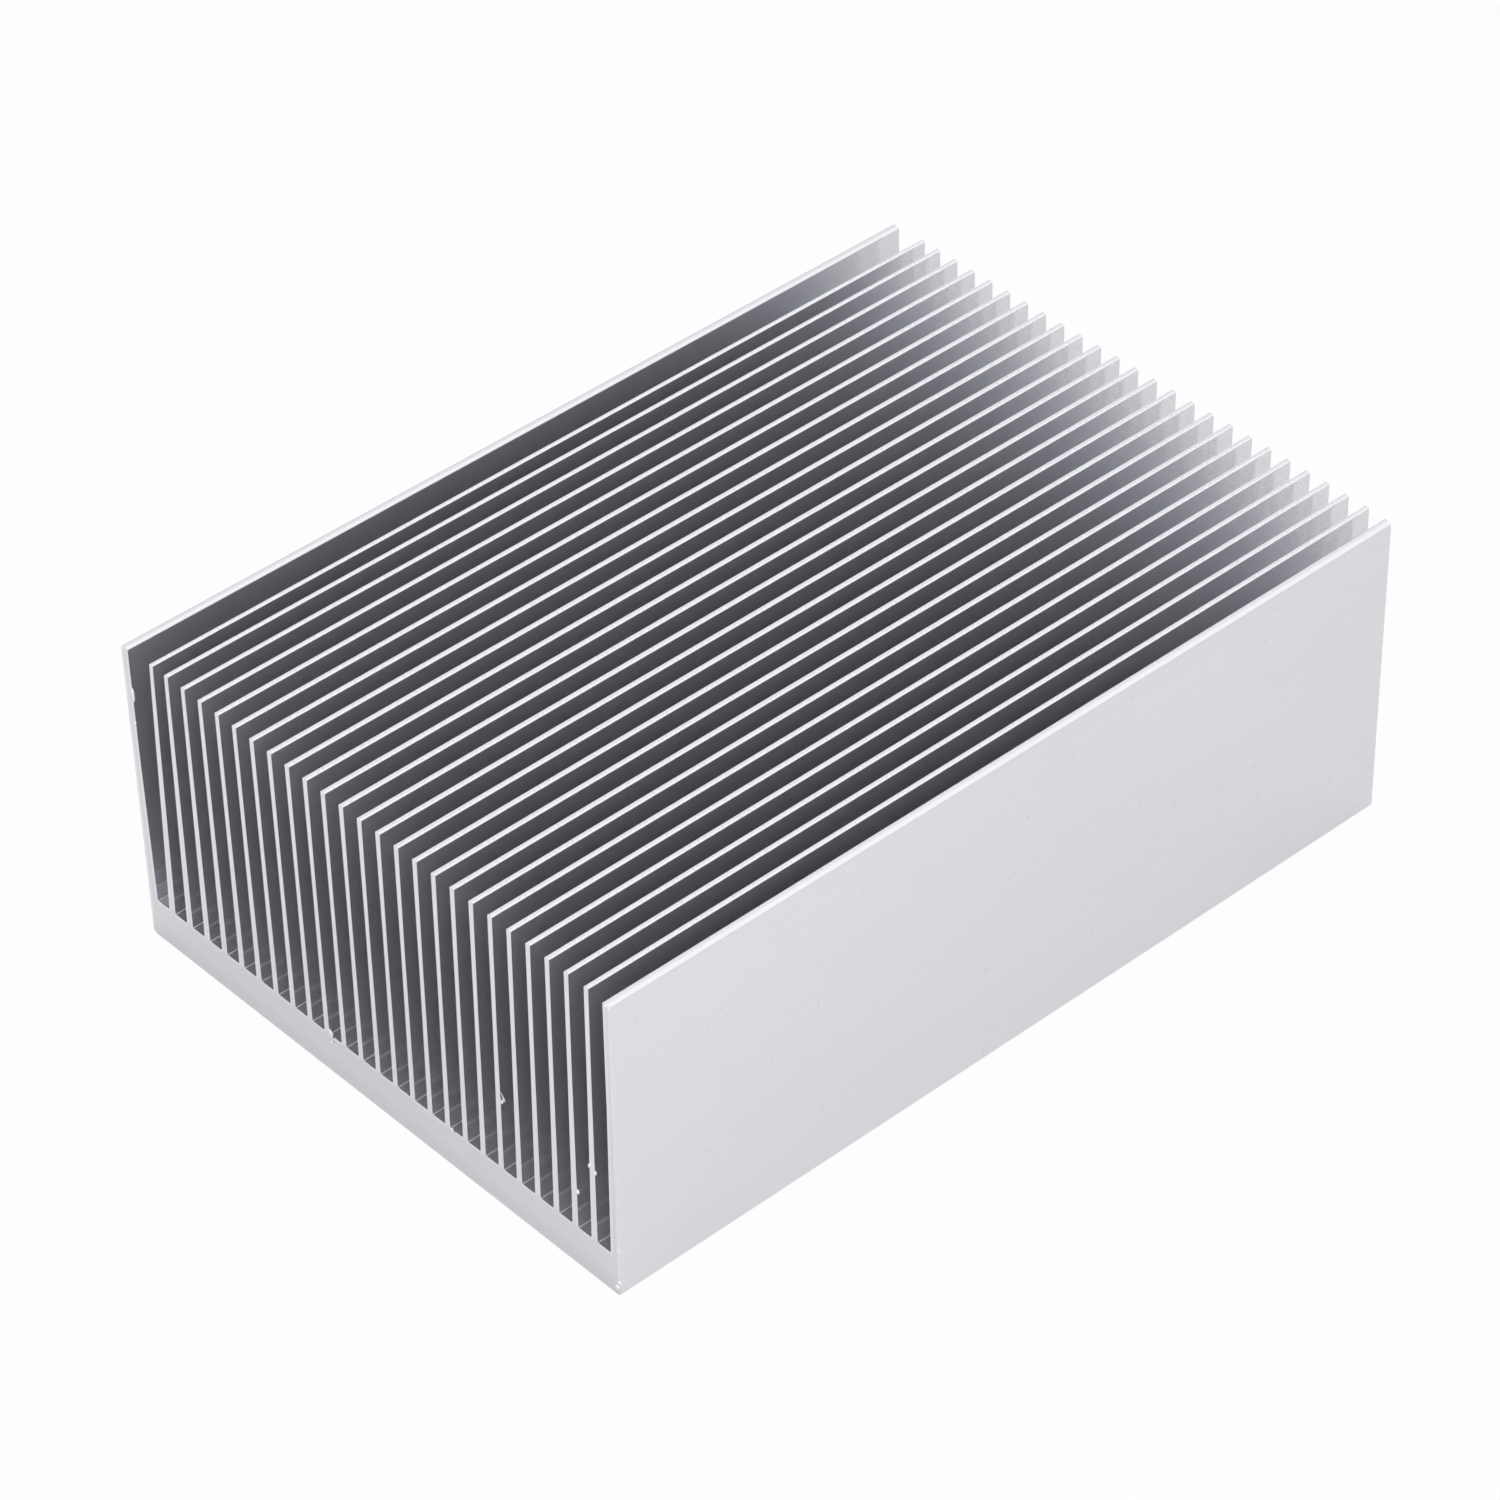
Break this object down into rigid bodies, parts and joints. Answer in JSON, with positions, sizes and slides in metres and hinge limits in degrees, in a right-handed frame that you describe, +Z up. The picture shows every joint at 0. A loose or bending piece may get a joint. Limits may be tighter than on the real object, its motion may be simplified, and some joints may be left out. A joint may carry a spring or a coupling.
{
  "type": "finned heat sink",
  "caption": "Extruded aluminium heat sink: a flat base with a dense comb of thin upright fins between thicker outer walls, sawn to length.",
  "frame": {"origin": "middle of the flat underside, which is the mounting face", "axes": "+X across the fins, from the flared wall to the upright wall; +Y along the extrusion and its slots; +Z up from the mounting face towards the fin tips"},
  "size_m": [0.1041, 0.15, 0.054],
  "materials": {
    "satin_aluminium": "satin mill finish, with sawn ends"
  },
  "bodies": {
    "root": {"heat_sink": "satin_aluminium"}
  },
  "joints": []
}
